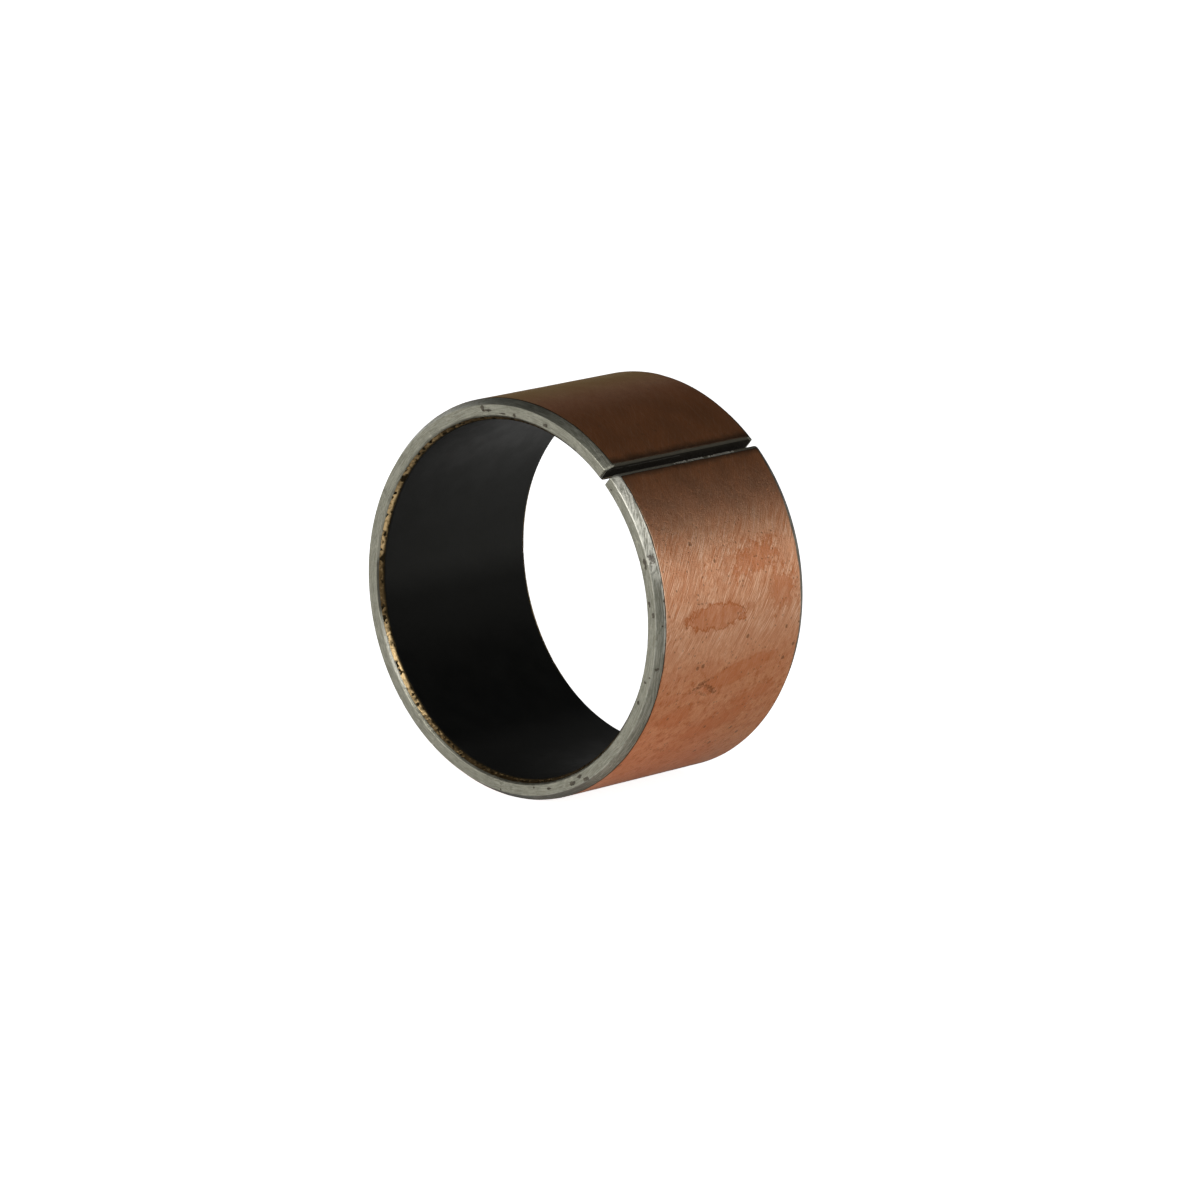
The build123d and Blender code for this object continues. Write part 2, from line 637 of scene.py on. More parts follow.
@dataclass(frozen=True)
class RustSpot:
    """A rust pit on the near end: its angle, and in mm its radius, reach round and across, and depth."""

    degrees: float
    radius: float
    reach_round: float
    reach_across: float
    depth: float = 0.05

    def nearness(self, wall: Wall, strip: Array) -> Array:
        """1 at the pit's middle, falling to 0 at its reach."""
        place = np.stack([
            (strip[:, 0] - wall.round_at(self.degrees)) / self.reach_round,
            np.where(strip[:, 1] < 0, 0, FAR),
            (strip[:, 2] - (wall.outside - self.radius)) / self.reach_across,
        ], axis=1)
        return np.maximum(1 - np.linalg.norm(place, axis=1), 0)

    def hollow(self, wall: Wall, strip: Array) -> Array:
        """The pit's depth in mm at each place."""
        return self.depth * ease_between(self.nearness(wall, strip), 0, 0.7)


# How brightly the bronze gleams, partly where the chamfer's tool wore it and partly as a painted highlight:
# angle from +X up towards +Z in degrees, and a share.
BRONZE_GLEAM = (
    (45, 0.0), (90, 0.0), (105, 0.1), (120, 0.25), (135, 0.35), (150, 0.5), (155, 0.85), (170, 0.8),
    (175, 0.3), (180, 0.05), (190, 0.05), (195, 0.4), (198, 1.0), (214, 1.0), (218, 0.45), (225, 0.7),
    (232, 0.3), (250, 0.1), (270, 0.05), (285, 0.0), (330, 0.1), (405, 0.0),
)

RUST_SPOTS = tuple(RustSpot(*sizes) for sizes in (
    (101, 13.4, 0.2, 0.2), (99, 13.2, 0.5, 0.1), (93, 13.0, 0.5, 0.06), (88, 13.0, 0.2, 0.15),
    (75, 13.1, 0.25, 0.15), (20, 13.8, 0.5, 0.15), (19, 13.3, 0.4, 0.15), (7, 13.1, 0.2, 0.12),
    (4, 13.4, 0.2, 0.12), (-12, 13.8, 0.15, 0.15), (-17, 13.2, 0.12, 0.1), (-24, 13.1, 0.2, 0.13),
    (-58, 13.5, 0.3, 0.15), (-60, 13.1, 0.3, 0.12), (-64, 13.3, 0.4, 0.15), (-74, 13.2, 0.3, 0.1),
))


# -------------------------------------------------------------------------------------------- shading

class Desk:
    """Adds nodes to one node tree and joins them up."""

    def __init__(self, tree: bpy.types.NodeTree) -> None:
        """Starts on a tree."""
        self.tree = tree

    def put(self, kind: str, inputs: dict[Any, Any] | None = None, **settings: Any) -> bpy.types.Node:
        """Adds a node.

        Args:
            kind: the node's type name.
            inputs: a number or another node's socket for each named input.
            settings: the node's own properties.

        Returns:
            The new node.
        """
        node = self.tree.nodes.new(kind)
        for name, value in settings.items():
            setattr(node, name, value)
        for name, value in (inputs or {}).items():
            self.feed(node.inputs[name], value)
        return node

    def feed(self, socket: Socket, value: Any) -> None:
        """Joins a socket to another one, or sets it to a constant."""
        if isinstance(value, bpy.types.NodeSocket):
            self.tree.links.new(value, socket)
        else:
            socket.default_value = value

    def step(self, operation: str, *values: Any) -> Socket:
        """One step of arithmetic on numbers."""
        return self.put("ShaderNodeMath", dict(enumerate(values)), operation=operation).outputs[0]

    def times(self, *values: Any) -> Socket:
        """The product of all the values."""
        return reduce(partial(self.step, "MULTIPLY"), values)

    def plus(self, *values: Any) -> Socket:
        """The sum of all the values."""
        return reduce(partial(self.step, "ADD"), values)

    def less(self, value: Any, taken: Any) -> Socket:
        """A value less another one."""
        return self.step("SUBTRACT", value, taken)

    def rest(self, cover: Any, share: float = 1.0) -> Socket:
        """What a share of a cover leaves bare."""
        return self.less(1.0, self.times(cover, share))

    def most(self, *values: Any) -> Socket:
        """The greatest of the values."""
        return reduce(partial(self.step, "MAXIMUM"), values)

    def vector(self, operation: str, *values: Any) -> bpy.types.Node:
        """One step of arithmetic on vectors."""
        return self.put("ShaderNodeVectorMath", dict(enumerate(values)), operation=operation)

    def axes(self, place: Socket) -> Any:
        """A place's three numbers: round, along and across."""
        return self.put("ShaderNodeSeparateXYZ", {0: place}).outputs

    def leaned(self, place: Socket, lean: Socket) -> Socket:
        """A place turned back by a lean, in radians, in the plane of the outside."""
        inputs = {"Vector": place, "Angle": self.times(lean, -1.0)}
        return self.put("ShaderNodeVectorRotate", inputs, rotation_type="Z_AXIS").outputs[0]

    def span(self, value: Any, low: Any, high: Any, start: Any = 0.0, end: Any = 1.0) -> Socket:
        """An S-shaped step: start where value is low, end where it is high."""
        inputs = {"Value": value, "From Min": low, "From Max": high, "To Min": start, "To Max": end}
        return self.put("ShaderNodeMapRange", inputs, interpolation_type="SMOOTHSTEP").outputs[0]

    def mix(self, factor: Any, first: Any, second: Any) -> Socket:
        """Mixes two colours."""
        node = self.put("ShaderNodeMix", data_type="RGBA")
        for at, value in ((0, factor), (6, full(first)), (7, full(second))):
            self.feed(node.inputs[at], value)
        return node.outputs[2]

    def coats(self, colour: Any, paints: Sequence[tuple[Any, ...]]) -> Any:
        """Lays paints over a colour one after another.

        Args:
            colour: the colour underneath.
            paints: each paint's colour, then its covers, whose product says how thickly it lies.

        Returns:
            The colour on top.
        """
        for paint, *covers in paints:
            colour = self.mix(self.times(*covers), colour, paint)
        return colour

    def noise(self, place: Any, scale: Any = 1.0, detail: float = 3.0, rough: float = 0.5) -> Socket:
        """Fractal noise about 0.5."""
        inputs = {"Vector": place, "Scale": scale, "Detail": detail, "Roughness": rough}
        return self.put("ShaderNodeTexNoise", inputs).outputs[0]

    def strip(self) -> Socket:
        """The strip coordinates, in mm."""
        return self.put("ShaderNodeAttribute", attribute_name=STRIP).outputs["Vector"]

    def mask(self, name: str) -> Socket:
        """One of the mesh's own masks."""
        return self.put("ShaderNodeAttribute", attribute_name=name).outputs["Fac"]


def full(colour: Any) -> Any:
    """A colour with its alpha, or the socket that was given."""
    return (*colour, 1.0) if isinstance(colour, tuple) and len(colour) == 3 else colour


class Kind(Enum):
    """The kinds of socket that an effect may have."""

    NUMBER = "NodeSocketFloat"
    PLACE = "NodeSocketVector"

    @classmethod
    def of(cls, value: Any) -> Kind:
        """The kind that holds a value."""
        return cls.PLACE if isinstance(value, tuple) else cls.NUMBER


class Effect:
    """A shader node group that several finishes share, built once, over the strip coordinates."""

    title = ""
    inputs: dict[str, Any] = {}
    outputs: tuple[str, ...] = ()

    def lay_out(self, desk: Desk, given: dict[str, Socket]) -> dict[str, Socket]:
        """Lays out the effect's nodes.

        Args:
            desk: the group's own tree.
            given: the group's input sockets by name.

        Returns:
            The sockets that go out, by name.
        """
        raise NotImplementedError

    def group(self) -> bpy.types.NodeTree:
        """The effect's node group, made the first time that it's asked for."""
        known = bpy.data.node_groups.get(self.title)
        if known:
            return known
        tree = bpy.data.node_groups.new(self.title, "ShaderNodeTree")
        inputs = {"Strip": (0, 0, 0), **self.inputs}
        for name, value in inputs.items():
            socket = tree.interface.new_socket(name, in_out="INPUT", socket_type=Kind.of(value).value)
            socket.default_value = value
        for name in self.outputs:
            tree.interface.new_socket(name, in_out="OUTPUT", socket_type=Kind.NUMBER.value)
        desk = Desk(tree)
        entry = desk.put("NodeGroupInput")
        made = self.lay_out(desk, {name: entry.outputs[name] for name in inputs})
        desk.put("NodeGroupOutput", made)
        return tree

    def on(self, desk: Desk, **values: Any) -> dict[str, Socket]:
        """Places the effect in a material.

        Args:
            desk: the material's tree.
            values: a constant or a socket for each other input.

        Returns:
            The effect's outputs by name.
        """
        node = desk.put("ShaderNodeGroup", node_tree=self.group())
        for name, value in {"strip": desk.strip(), **values}.items():
            desk.feed(node.inputs[name.capitalize()], value)
        return {name: node.outputs[name] for name in self.outputs}


class Scratches(Effect):
    """Fine lines that run round the ring: noise drawn out along them and squeezed across them."""

    title = "scratches"
    inputs = {
        "Length": 3.0,
        "Spacing": 0.1,
        "Lean": 0.0,
        "Cover": 0.5,
    }
    outputs = ("Lines", "Shades", "Relief")
    bend_scale = 0.17

    def lay_out(self, desk: Desk, given: dict[str, Socket]) -> dict[str, Socket]:
        """Turns the strip back by the lean, divides it by length and spacing, and cuts noise at the cover.

        Lines are where the noise is high and Shades where it's as low.
        """
        waves = {"Vector": given["Strip"], "Scale": self.bend_scale, "Detail": 1.0}
        bend = desk.put("ShaderNodeTexNoise", waves).outputs["Color"]
        turned = desk.vector("ADD", desk.leaned(given["Strip"], given["Lean"]), bend).outputs[0]
        along, across = (desk.step("DIVIDE", 1.0, given[name]) for name in ("Length", "Spacing"))
        scale = desk.put("ShaderNodeCombineXYZ", {"X": along, "Y": across, "Z": across}).outputs[0]
        field = desk.noise(desk.vector("MULTIPLY", turned, scale).outputs[0], 1.0, 2.0, 0.6)
        low = desk.less(0.75, desk.times(given["Cover"], 0.35))
        high = desk.plus(low, 0.12)
        return {"Lines": desk.span(field, low, high), "Shades": desk.span(desk.rest(field), low, high),
                "Relief": field}


class Specks(Effect):
    """Small scattered spots: some cells of a cell pattern, each with a ragged dot in it."""

    title = "specks"
    inputs = {
        "Size": 0.5,
        "Share": 0.3,
        "Reach": 0.3,
    }
    outputs = ("Spots",)

    def lay_out(self, desk: Desk, given: dict[str, Socket]) -> dict[str, Socket]:
        """Keeps a share of the cells, more in crowded places, each as far as its reach from the centre."""
        place = given["Strip"]
        scale = desk.step("DIVIDE", 1.0, given["Size"])
        cells = desk.put("ShaderNodeTexVoronoi", {"Vector": place, "Scale": scale})
        chance = desk.put("ShaderNodeSeparateColor", {0: cells.outputs["Color"]}).outputs[0]
        crowd = desk.span(desk.noise(place, desk.times(scale, 0.22), 2.0), 0.4, 0.62, 0.0, 1.6)
        kept = desk.step("LESS_THAN", chance, desk.times(given["Share"], crowd))
        ragged = desk.noise(place, desk.times(scale, 4.0), 2.0)
        reach = desk.times(given["Reach"], desk.plus(ragged, 0.3))
        dot = desk.span(cells.outputs["Distance"], desk.times(reach, 0.6), reach, 1.0, 0.0)
        return {"Spots": desk.times(dot, kept)}


class Clouds(Effect):
    """Soft blotches, as tarnish leaves: many-sized noise with its contrast raised."""

    title = "clouds"
    inputs = {
        "Size": 3.0,
        "Contrast": 0.2,
        "Level": 0.5,
    }
    outputs = ("Amount",)

    def lay_out(self, desk: Desk, given: dict[str, Socket]) -> dict[str, Socket]:
        """An S-shaped step on fractal noise, as steep as the contrast is small, about the level."""
        field = desk.noise(given["Strip"], desk.step("DIVIDE", 1.0, given["Size"]), 6.0, 0.6)
        low, high = (desk.step(way, given["Level"], given["Contrast"]) for way in ("SUBTRACT", "ADD"))
        return {"Amount": desk.span(field, low, high)}


class Stain(Effect):
    """One patch with a ragged edge and a darker rim, as a dried drop leaves."""

    title = "stain"
    inputs = {
        "Centre": (0, 0, 0),
        "Reach": (1, 1, FAR),
        "Lean": 0.0,
        "Ragged": 0.5,
        "Grain": 1.2,
    }
    outputs = ("Patch", "Rim")

    def lay_out(self, desk: Desk, given: dict[str, Socket]) -> dict[str, Socket]:
        """Distance from the centre in reaches, shaken by noise: the patch is inside 1, the rim about 1."""
        away = desk.vector("SUBTRACT", given["Strip"], given["Centre"]).outputs[0]
        share = desk.vector("DIVIDE", desk.leaned(away, given["Lean"]), given["Reach"]).outputs[0]
        distance = desk.vector("LENGTH", share).outputs["Value"]
        shake = desk.less(desk.noise(given["Strip"], given["Grain"], 5.0, 0.65), 0.5)
        shaken = desk.plus(distance, desk.times(shake, given["Ragged"]))
        off_rim = desk.step("ABSOLUTE", desk.less(shaken, 0.86))
        return {"Patch": desk.span(shaken, 0.75, 1.05, 1.0, 0.0),
                "Rim": desk.span(off_rim, 0.02, 0.13, 1.0, 0.0)}


@dataclass(frozen=True)
class Mark:
    """A stain or scuff on the outside. Its reaches are in mm and its lean in radians.

    Strength is how dark its rim is, or how dark the whole of a scuff is.
    """

    degrees: float
    along: float
    reach_round: float
    reach_along: float
    lean: float
    ragged: float
    grain: float
    strength: float

    def on(self, desk: Desk, wall: Wall) -> dict[str, Socket]:
        """Places the mark in a material."""
        return Stain().on(desk, centre=(wall.round_at(self.degrees), self.along, 0.0),
                          reach=(self.reach_round, self.reach_along, FAR), lean=self.lean,
                          ragged=self.ragged, grain=self.grain)


# A drop in the middle, blotches to its right, a long slanting smear, and blotches low down.
STAINS = (
    Mark(0, -1.8, 1.0, 3.2, 0.0, 1.5, 1.5, 0.85),
    Mark(4, 5.0, 1.6, 1.1, 0.3, 3.4, 1.5, 0.4),
    Mark(14, 2.6, 1.0, 2.4, -0.3, 3.6, 1.6, 0.5),
    Mark(-18, 1.4, 0.9, 3.7, -0.2, 1.1, 0.9, 0.2),
    Mark(-36, 1.0, 0.9, 3.6, -0.25, 2.6, 1.1, 0.25),
    Mark(-28, 3.4, 0.7, 2.2, -0.3, 2.4, 1.4, 0.25),
    Mark(-30, -4.0, 0.9, 1.6, -0.2, 2.8, 1.3, 0.25),
)

# Three short dark strokes, the two strongest crossing like a hook.
SCUFFS = (
    Mark(-20, -2.5, 0.9, 0.24, 1.1, 3.2, 3.6, 1.0),
    Mark(-22, -1.3, 1.1, 0.2, 2.1, 3.2, 3.6, 0.75),
    Mark(-23, -2.1, 0.7, 0.13, 2.0, 3.2, 3.6, 0.45),
)


@dataclass(frozen=True)
class Finish:
    """A finish: what a material says once for its whole surface. Marks at chosen places need the wall."""

    wall: Wall | None = None
    name: str = ""
    metallic: float = 1.0
    specular: float = 0.5
    bump_mm: float = 0.012

    def surface(self, desk: Desk) -> dict[str, Any]:
        """What changes over the surface: constants or sockets for the shader's inputs, by name."""
        raise NotImplementedError

    def material(self) -> bpy.types.Material:
        """The finish as a material of one Principled shader."""
        made = bpy.data.materials.new(self.name)
        made.use_nodes = True
        shader = made.node_tree.nodes["Principled BSDF"]
        desk = Desk(made.node_tree)
        overall = {"Metallic": self.metallic, "Specular IOR Level": self.specular}
        for name, value in {**overall, **self.surface(desk)}.items():
            desk.feed(shader.inputs[name], value)
        return made

    def bump(self, desk: Desk, height: Socket) -> Socket:
        """The normal of a surface whose height is worth bump_mm at 1."""
        inputs = {"Height": height, "Strength": 1.0, "Distance": self.bump_mm * MM}
        return desk.put("ShaderNodeBump", inputs).outputs[0]

    def around(self, desk: Desk, degrees: float, half_width: float, soft: float) -> Socket:
        """1 within half_width degrees of an angle round the ring, falling to 0 over soft degrees."""
        wall = self.wall
        turn = desk.step("DIVIDE", desk.axes(desk.strip())[0], wall.outside)
        off = desk.less(turn, wall.round_at(degrees) / wall.outside)
        away = desk.step("ABSOLUTE", desk.step("WRAP", off, -math.pi, math.pi))
        return desk.span(away, math.radians(half_width), math.radians(half_width + soft), 1.0, 0.0)


@dataclass(frozen=True)
class CopperFinish(Finish):
    """Copper flash: brown tarnish, orange stains, fine slanting scratches and dark specks."""

    name: str = "tarnished copper"
    clean: Colour = (0.79, 0.415, 0.24)
    dull: Colour = (0.60, 0.265, 0.135)
    stain_and_shade: Colour = (0.56, 0.185, 0.07)
    ring: Colour = (0.46, 0.135, 0.04)
    brown: Colour = (0.62, 0.245, 0.095)
    # Painted reflection: the yellow-brown laid across the top of the outside.
    olive: Colour = (0.50, 0.41, 0.20)
    dark: Colour = (0.23, 0.095, 0.04)
    # Bright scratch colour, also the painted glint on the scratches.
    scrape_and_highlight: Colour = (0.95, 0.66, 0.46)
    # Painted highlight on the plating's cut edge about 14 degrees.
    edge_highlight: Colour = (0.85, 0.78, 0.62)
    # Painted shade along the bottom, where the ring stands.
    contact_shadow: Colour = (0.12, 0.07, 0.045)
    near_black: Colour = (0.07, 0.055, 0.04)
    # Painted shade on the plating's cut edges.
    cut_edge_shade: Colour = (0.06, 0.045, 0.03)
    tint: Colour = (0.95, 0.8, 0.7)
    # Painted reflection: the specular tint across the top.
    top_reflection_tint: Colour = (0.74, 0.63, 0.42)
    bump_mm: float = 0.009

    def scuffs(self, desk: Desk) -> Socket:
        """The dark strokes, broken up by a fine noise."""
        strokes = [desk.times(mark.on(desk, self.wall)["Patch"], mark.strength) for mark in SCUFFS]
        patchy = desk.span(desk.noise(desk.strip(), 5.0, 3.0, 0.6), 0.38, 0.6, 0.3, 1.0)
        return desk.times(desk.step("MINIMUM", desk.plus(*strokes), 0.75), patchy)

    def plating_edge(self, desk: Desk) -> Socket:
        """1 at the plating's ends, where the chamfers cut it, fading in over a ragged tenth of a mm."""
        strip, end = desk.strip(), self.wall.seat_half
        along = desk.step("ABSOLUTE", desk.axes(strip)[1])
        shake = desk.times(desk.noise(strip, 2.5, 4.0), 0.22)
        return desk.span(desk.plus(along, shake), end - 0.02, end + 0.12)

    def joint_darkening(self, desk: Desk) -> Socket:
        """Darkening along both lips of the joint, with a ragged border."""
        strip, half_turn = desk.strip(), math.pi * self.wall.outside
        to_joint = desk.step("ABSOLUTE", desk.step("WRAP", desk.axes(strip)[0], -half_turn, half_turn))
        reach = desk.plus(0.75, desk.times(desk.noise(strip, 0.9, 4.0, 0.6), 0.9))
        return desk.span(to_joint, 0.4, reach, 0.85, 0.0)

    def surface(self, desk: Desk) -> dict[str, Any]:
        """Layers tarnish, stains, scratches, specks, painted shade, a painted reflection and painted glints
        over clean copper.
        """
        clouds = Clouds().on(desk, size=3.0, contrast=0.14)["Amount"]
        mottle = Clouds().on(desk, size=0.7, contrast=0.14, level=0.52)["Amount"]
        peel = Clouds().on(desk, size=0.22, contrast=0.16)["Amount"]
        blots = Clouds().on(desk, size=0.6, contrast=0.07, level=0.57)["Amount"]
        grit = Clouds().on(desk, size=0.11, contrast=0.12, level=0.6)["Amount"]
        slant = Scratches().on(desk, length=2.6, spacing=0.06, lean=0.6, cover=0.62)
        steep = Scratches().on(desk, length=3.0, spacing=0.08, lean=0.12, cover=0.6)
        smear = Scratches().on(desk, length=2.4, spacing=0.5, lean=1.2, cover=0.9)
        lively = desk.rest(self.around(desk, 75, 42, 14), 0.75)
        specks = desk.times(Specks().on(desk, size=0.8, share=0.26, reach=0.3)["Spots"], lively)
        pits = desk.times(Specks().on(desk, size=0.3, share=0.2, reach=0.4)["Spots"], lively)
        # Painted glint: the slanting scratches show strongest about 9 degrees, where the light falls.
        wear_and_highlight = self.around(desk, 9, 9, 16)
        lower = self.around(desk, -42, 22, 14)
        # Painted shade: a brown band about 58 degrees darkens the upper outside.
        shaded = self.around(desk, 58, 10, 16)
        # Painted reflection: a yellow-brown band across the top, about 112 degrees, in colour and specular
        # tint.
        top = self.around(desk, 112, 16, 20)
        scuff = self.scuffs(desk)
        colour = desk.coats(self.clean, (
            (self.dull, clouds, 0.6),
            (self.dull, mottle, 0.45),
            (self.dull, peel, 0.5),
            # painted shade on the upper outside
            (self.brown, shaded, 0.8),
            # painted reflection across the top
            (self.olive, top, 0.55),
            (self.stain_and_shade, smear["Lines"], lower, 0.55),
            (self.brown, smear["Shades"], lower, 0.4),
            (self.ring, blots, lower, 0.7),
            (self.ring, grit, desk.plus(0.18, desk.times(lower, 0.45))),
        ))
        patches = 0.0
        uneven = desk.plus(0.46, desk.times(mottle, 0.34))
        for mark in STAINS:
            stain = mark.on(desk, self.wall)
            patches = desk.most(patches, stain["Patch"])
            colour = desk.coats(colour, (
                (self.stain_and_shade, stain["Patch"], uneven),
                (self.ring, stain["Rim"], mark.strength),
            ))
        # Real scratches with a painted glint: stronger about 9 degrees, weaker in the stains.
        keen = desk.times(desk.plus(0.12, desk.times(wear_and_highlight, 0.62)), desk.rest(patches, 0.7))
        colour = desk.coats(colour, (
            (self.scrape_and_highlight, slant["Lines"], keen),
            (self.ring, slant["Shades"], keen),
            (self.scrape_and_highlight, steep["Lines"], 0.12),
            (self.ring, steep["Shades"], 0.12),
            (self.dark, scuff),
            (self.dark, specks, 0.75),
            (self.dark, pits, 0.5),
            # The plating's cut edge: a painted highlight about 14 degrees, dark elsewhere.
            (desk.mix(self.around(desk, 14, 16, 10), self.dark, self.edge_highlight), self.plating_edge(desk), 0.35),
            # Painted shade along the bottom, about -80 degrees.
            (self.contact_shadow, self.around(desk, -80, 11, 5), 0.65),
            # Darkening along the joint's lips.
            (self.near_black, self.joint_darkening(desk)),
            # Painted shade: the plating's cut edges below the outside go near black.
            (self.cut_edge_shade, desk.span(desk.axes(desk.strip())[2], 0.0, 0.004)),
        ))
        raised = desk.plus(slant["Relief"], desk.times(steep["Relief"], 0.5), desk.times(peel, 0.45))
        return {
            "Base Color": colour,
            # Painted reflection: the specular tint turns yellow-brown across the top.
            "Specular Tint": desk.mix(top, self.tint, self.top_reflection_tint),
            "Roughness": desk.plus(0.34, desk.times(clouds, 0.06), desk.times(scuff, 0.25)),
            "Normal": self.bump(desk, desk.less(raised, desk.plus(specks, pits, grit))),
        }


@dataclass(frozen=True)
class SteelFinish(Finish):
    """Turned low-carbon steel: scratched and spotted chamfers, sheared joint faces, painted highlights and
    painted shade.
    """

    name: str = "turned steel"
    bright: Colour = (0.47, 0.455, 0.36)
    grey: Colour = (0.27, 0.27, 0.21)
    chamfered: Colour = (0.17, 0.175, 0.14)
    # Bright steel for turning lines and wear, and for painted highlights.
    wear_and_highlight: Colour = (0.88, 0.86, 0.76)
    # Painted shade on the far end's chamfer.
    olive: Colour = (0.11, 0.105, 0.065)
    near_black: Colour = (0.065, 0.06, 0.046)
    unlit: Colour = (0.028, 0.024, 0.018)
    rust: Colour = (0.045, 0.028, 0.018)

    def creases(self, desk: Desk, along: Socket, depth: Socket) -> Socket:
        """1 where a highlight is painted along the chamfer's two edges, partly wear, most just below the
        joint.
        """
        patchy = desk.span(desk.noise(desk.strip(), 1.3, 4.0, 0.6), 0.36, 0.56)
        off = desk.step("ABSOLUTE", desk.less(depth, self.wall.outer_depth))
        # Painted highlight along the crease, about 30 degrees, weaker about -20 degrees.
        spread = desk.most(self.around(desk, 30, 13, 6), desk.times(self.around(desk, -20, 30, 60), 0.35))
        crease = desk.times(desk.span(off, 0.0, 0.075, 1.0, 0.0), spread)
        # Painted highlight along the outer rim, about 14 degrees.
        rim = desk.times(desk.span(depth, 0.04, 0.1, 1.0, 0.0), self.around(desk, 14, 16, 10))
        near_end = desk.step("LESS_THAN", along, 0.0)
        return desk.times(desk.most(crease, desk.times(rim, 0.8)), patchy, near_end)

    def rust_spots(self, desk: Desk) -> list[Socket]:
        """Where each rust pit stains the metal."""
        wall = self.wall
        found = []
        for spot in RUST_SPOTS:
            centre = (wall.round_at(spot.degrees), -wall.half_length, wall.outside - spot.radius)
            reach = (spot.reach_round, 0.5, spot.reach_across)
            found.append(Stain().on(desk, centre=centre, reach=reach, ragged=2.6, grain=3.4)["Patch"])
        return found

    def surface(self, desk: Desk) -> dict[str, Any]:
        """Turning lines round the ring, dull blotches and rust, with painted highlights and painted shade.
        """
        along, depth = desk.axes(desk.strip())[1:3]
        crease = self.wall.outer_depth
        on_chamfer = desk.span(depth, crease - 0.04, crease + 0.02, 1.0, 0.0)
        blotch = Clouds().on(desk, size=0.9, contrast=0.2)["Amount"]
        grain = Clouds().on(desk, size=0.16, contrast=0.22)["Amount"]
        lines = Scratches().on(desk, length=1.4, spacing=0.05, cover=0.8)
        scrape = Scratches().on(desk, length=2.2, spacing=0.13, lean=0.35, cover=1.0)
        specks = Specks().on(desk, size=0.55, share=0.1, reach=0.22)["Spots"]
        # Real crumbs, and painted highlights on the inner chamfer and the creases.
        wear_and_glint = desk.most(desk.mask(WEAR_AND_GLINT), self.creases(desk, along, depth))
        # Painted shade in the joint and on a stretch of the inner chamfer.
        joint_and_chamfer_shade = desk.mask(LIP)
        # Painted highlight on the chamfer about 30 degrees, over real scratches.
        scrape_and_highlight = desk.times(self.around(desk, 30, 12, 8), on_chamfer)
        # Painted shade on the chamfer underneath, about -85 and -102 degrees.
        low_chamfer_shade = desk.most(desk.times(self.around(desk, -85, 22, 12), 0.6),
                          desk.times(self.around(desk, -102, 12, 14), 0.8))
        colour = desk.coats(self.bright, (
            (self.grey, blotch, 0.45),
            (self.grey, grain, 0.5),
            (self.chamfered, on_chamfer, 0.45),
            # painted shade, darkest at the outer rim, except on the highlit chamfer
            (self.near_black, desk.span(depth, 0.05, 0.38, 0.34, 0.0), desk.rest(scrape_and_highlight)),
            (self.wear_and_highlight, lines["Lines"], 0.15),
            (self.near_black, lines["Shades"], 0.2),
            # painted highlight on the chamfer, with its scratches
            (self.wear_and_highlight, scrape_and_highlight, 0.12),
            (self.wear_and_highlight, scrape["Lines"], scrape_and_highlight, 0.55),
            (self.near_black, scrape["Shades"], scrape_and_highlight, 0.22),
            # painted shade: the far end's chamfer is darkened
            (self.olive, desk.step("GREATER_THAN", along, 0.0), on_chamfer, 0.6),
            # painted shade on the chamfer underneath
            (self.near_black, low_chamfer_shade, on_chamfer),
            # painted shade in the joint: near black, blacker deeper in
            (desk.mix(desk.span(depth, 0.12, 0.2), self.near_black, self.unlit), joint_and_chamfer_shade),
            # painted highlights on the creases and inner chamfer, and real crumbs
            (self.wear_and_highlight, wear_and_glint, 0.85),
            (self.rust, specks, 0.8),
            *((self.rust, spot, 0.7) for spot in self.rust_spots(desk)),
        ))
        # Metallic and specular fall away under the painted shade, except under the glints and crumbs.
        clean = desk.rest(desk.times(joint_and_chamfer_shade, desk.rest(wear_and_glint)))
        rough = desk.plus(desk.span(blotch, 0.0, 1.0, 0.38, 0.48), 0.4)
        raised = desk.plus(desk.times(scrape["Relief"], desk.times(scrape_and_highlight, 0.5)),
                           desk.times(lines["Relief"], 0.5), desk.times(grain, 0.7))
        return {
            "Base Color": colour,
            "Metallic": clean,
            "Specular IOR Level": desk.span(clean, 0.0, 1.0, 0.03, self.specular),
            "Roughness": desk.less(rough, desk.times(clean, 0.4)),
            "Normal": self.bump(desk, desk.less(raised, specks)),
        }


@dataclass(frozen=True)
class BronzeFinish(Finish):
    """Cut bronze grains, gold where the tool wore them and where a highlight is painted, with black filler
    in the pores.
    """

    name: str = "sintered bronze"
    gold: Colour = (0.84, 0.60, 0.30)
    brown: Colour = (0.14, 0.09, 0.038)
    filler: Colour = (0.036, 0.026, 0.012)

    def surface(self, desk: Desk) -> dict[str, Any]:
        """Gold on the gleaming grains, part wear and part painted highlight, brown on the others and black
        in the pores.
        """
        pore, patchy = desk.mask(PORE), desk.less(desk.noise(desk.strip(), 2.6, 3.0, 0.6), 0.5)
        # Gleam: partly wear, partly a painted highlight.
        gleam = desk.span(desk.plus(desk.mask(GLEAM), desk.times(patchy, 1.4)), 0.0, 1.0)
        return {
            "Base Color": desk.coats(self.brown, ((self.gold, gleam), (self.filler, pore))),
            "Roughness": desk.span(pore, 0.0, 1.0, 0.38, 0.7),
            "Normal": self.bump(desk, desk.noise(desk.strip(), 14.0, 2.0)),
        }


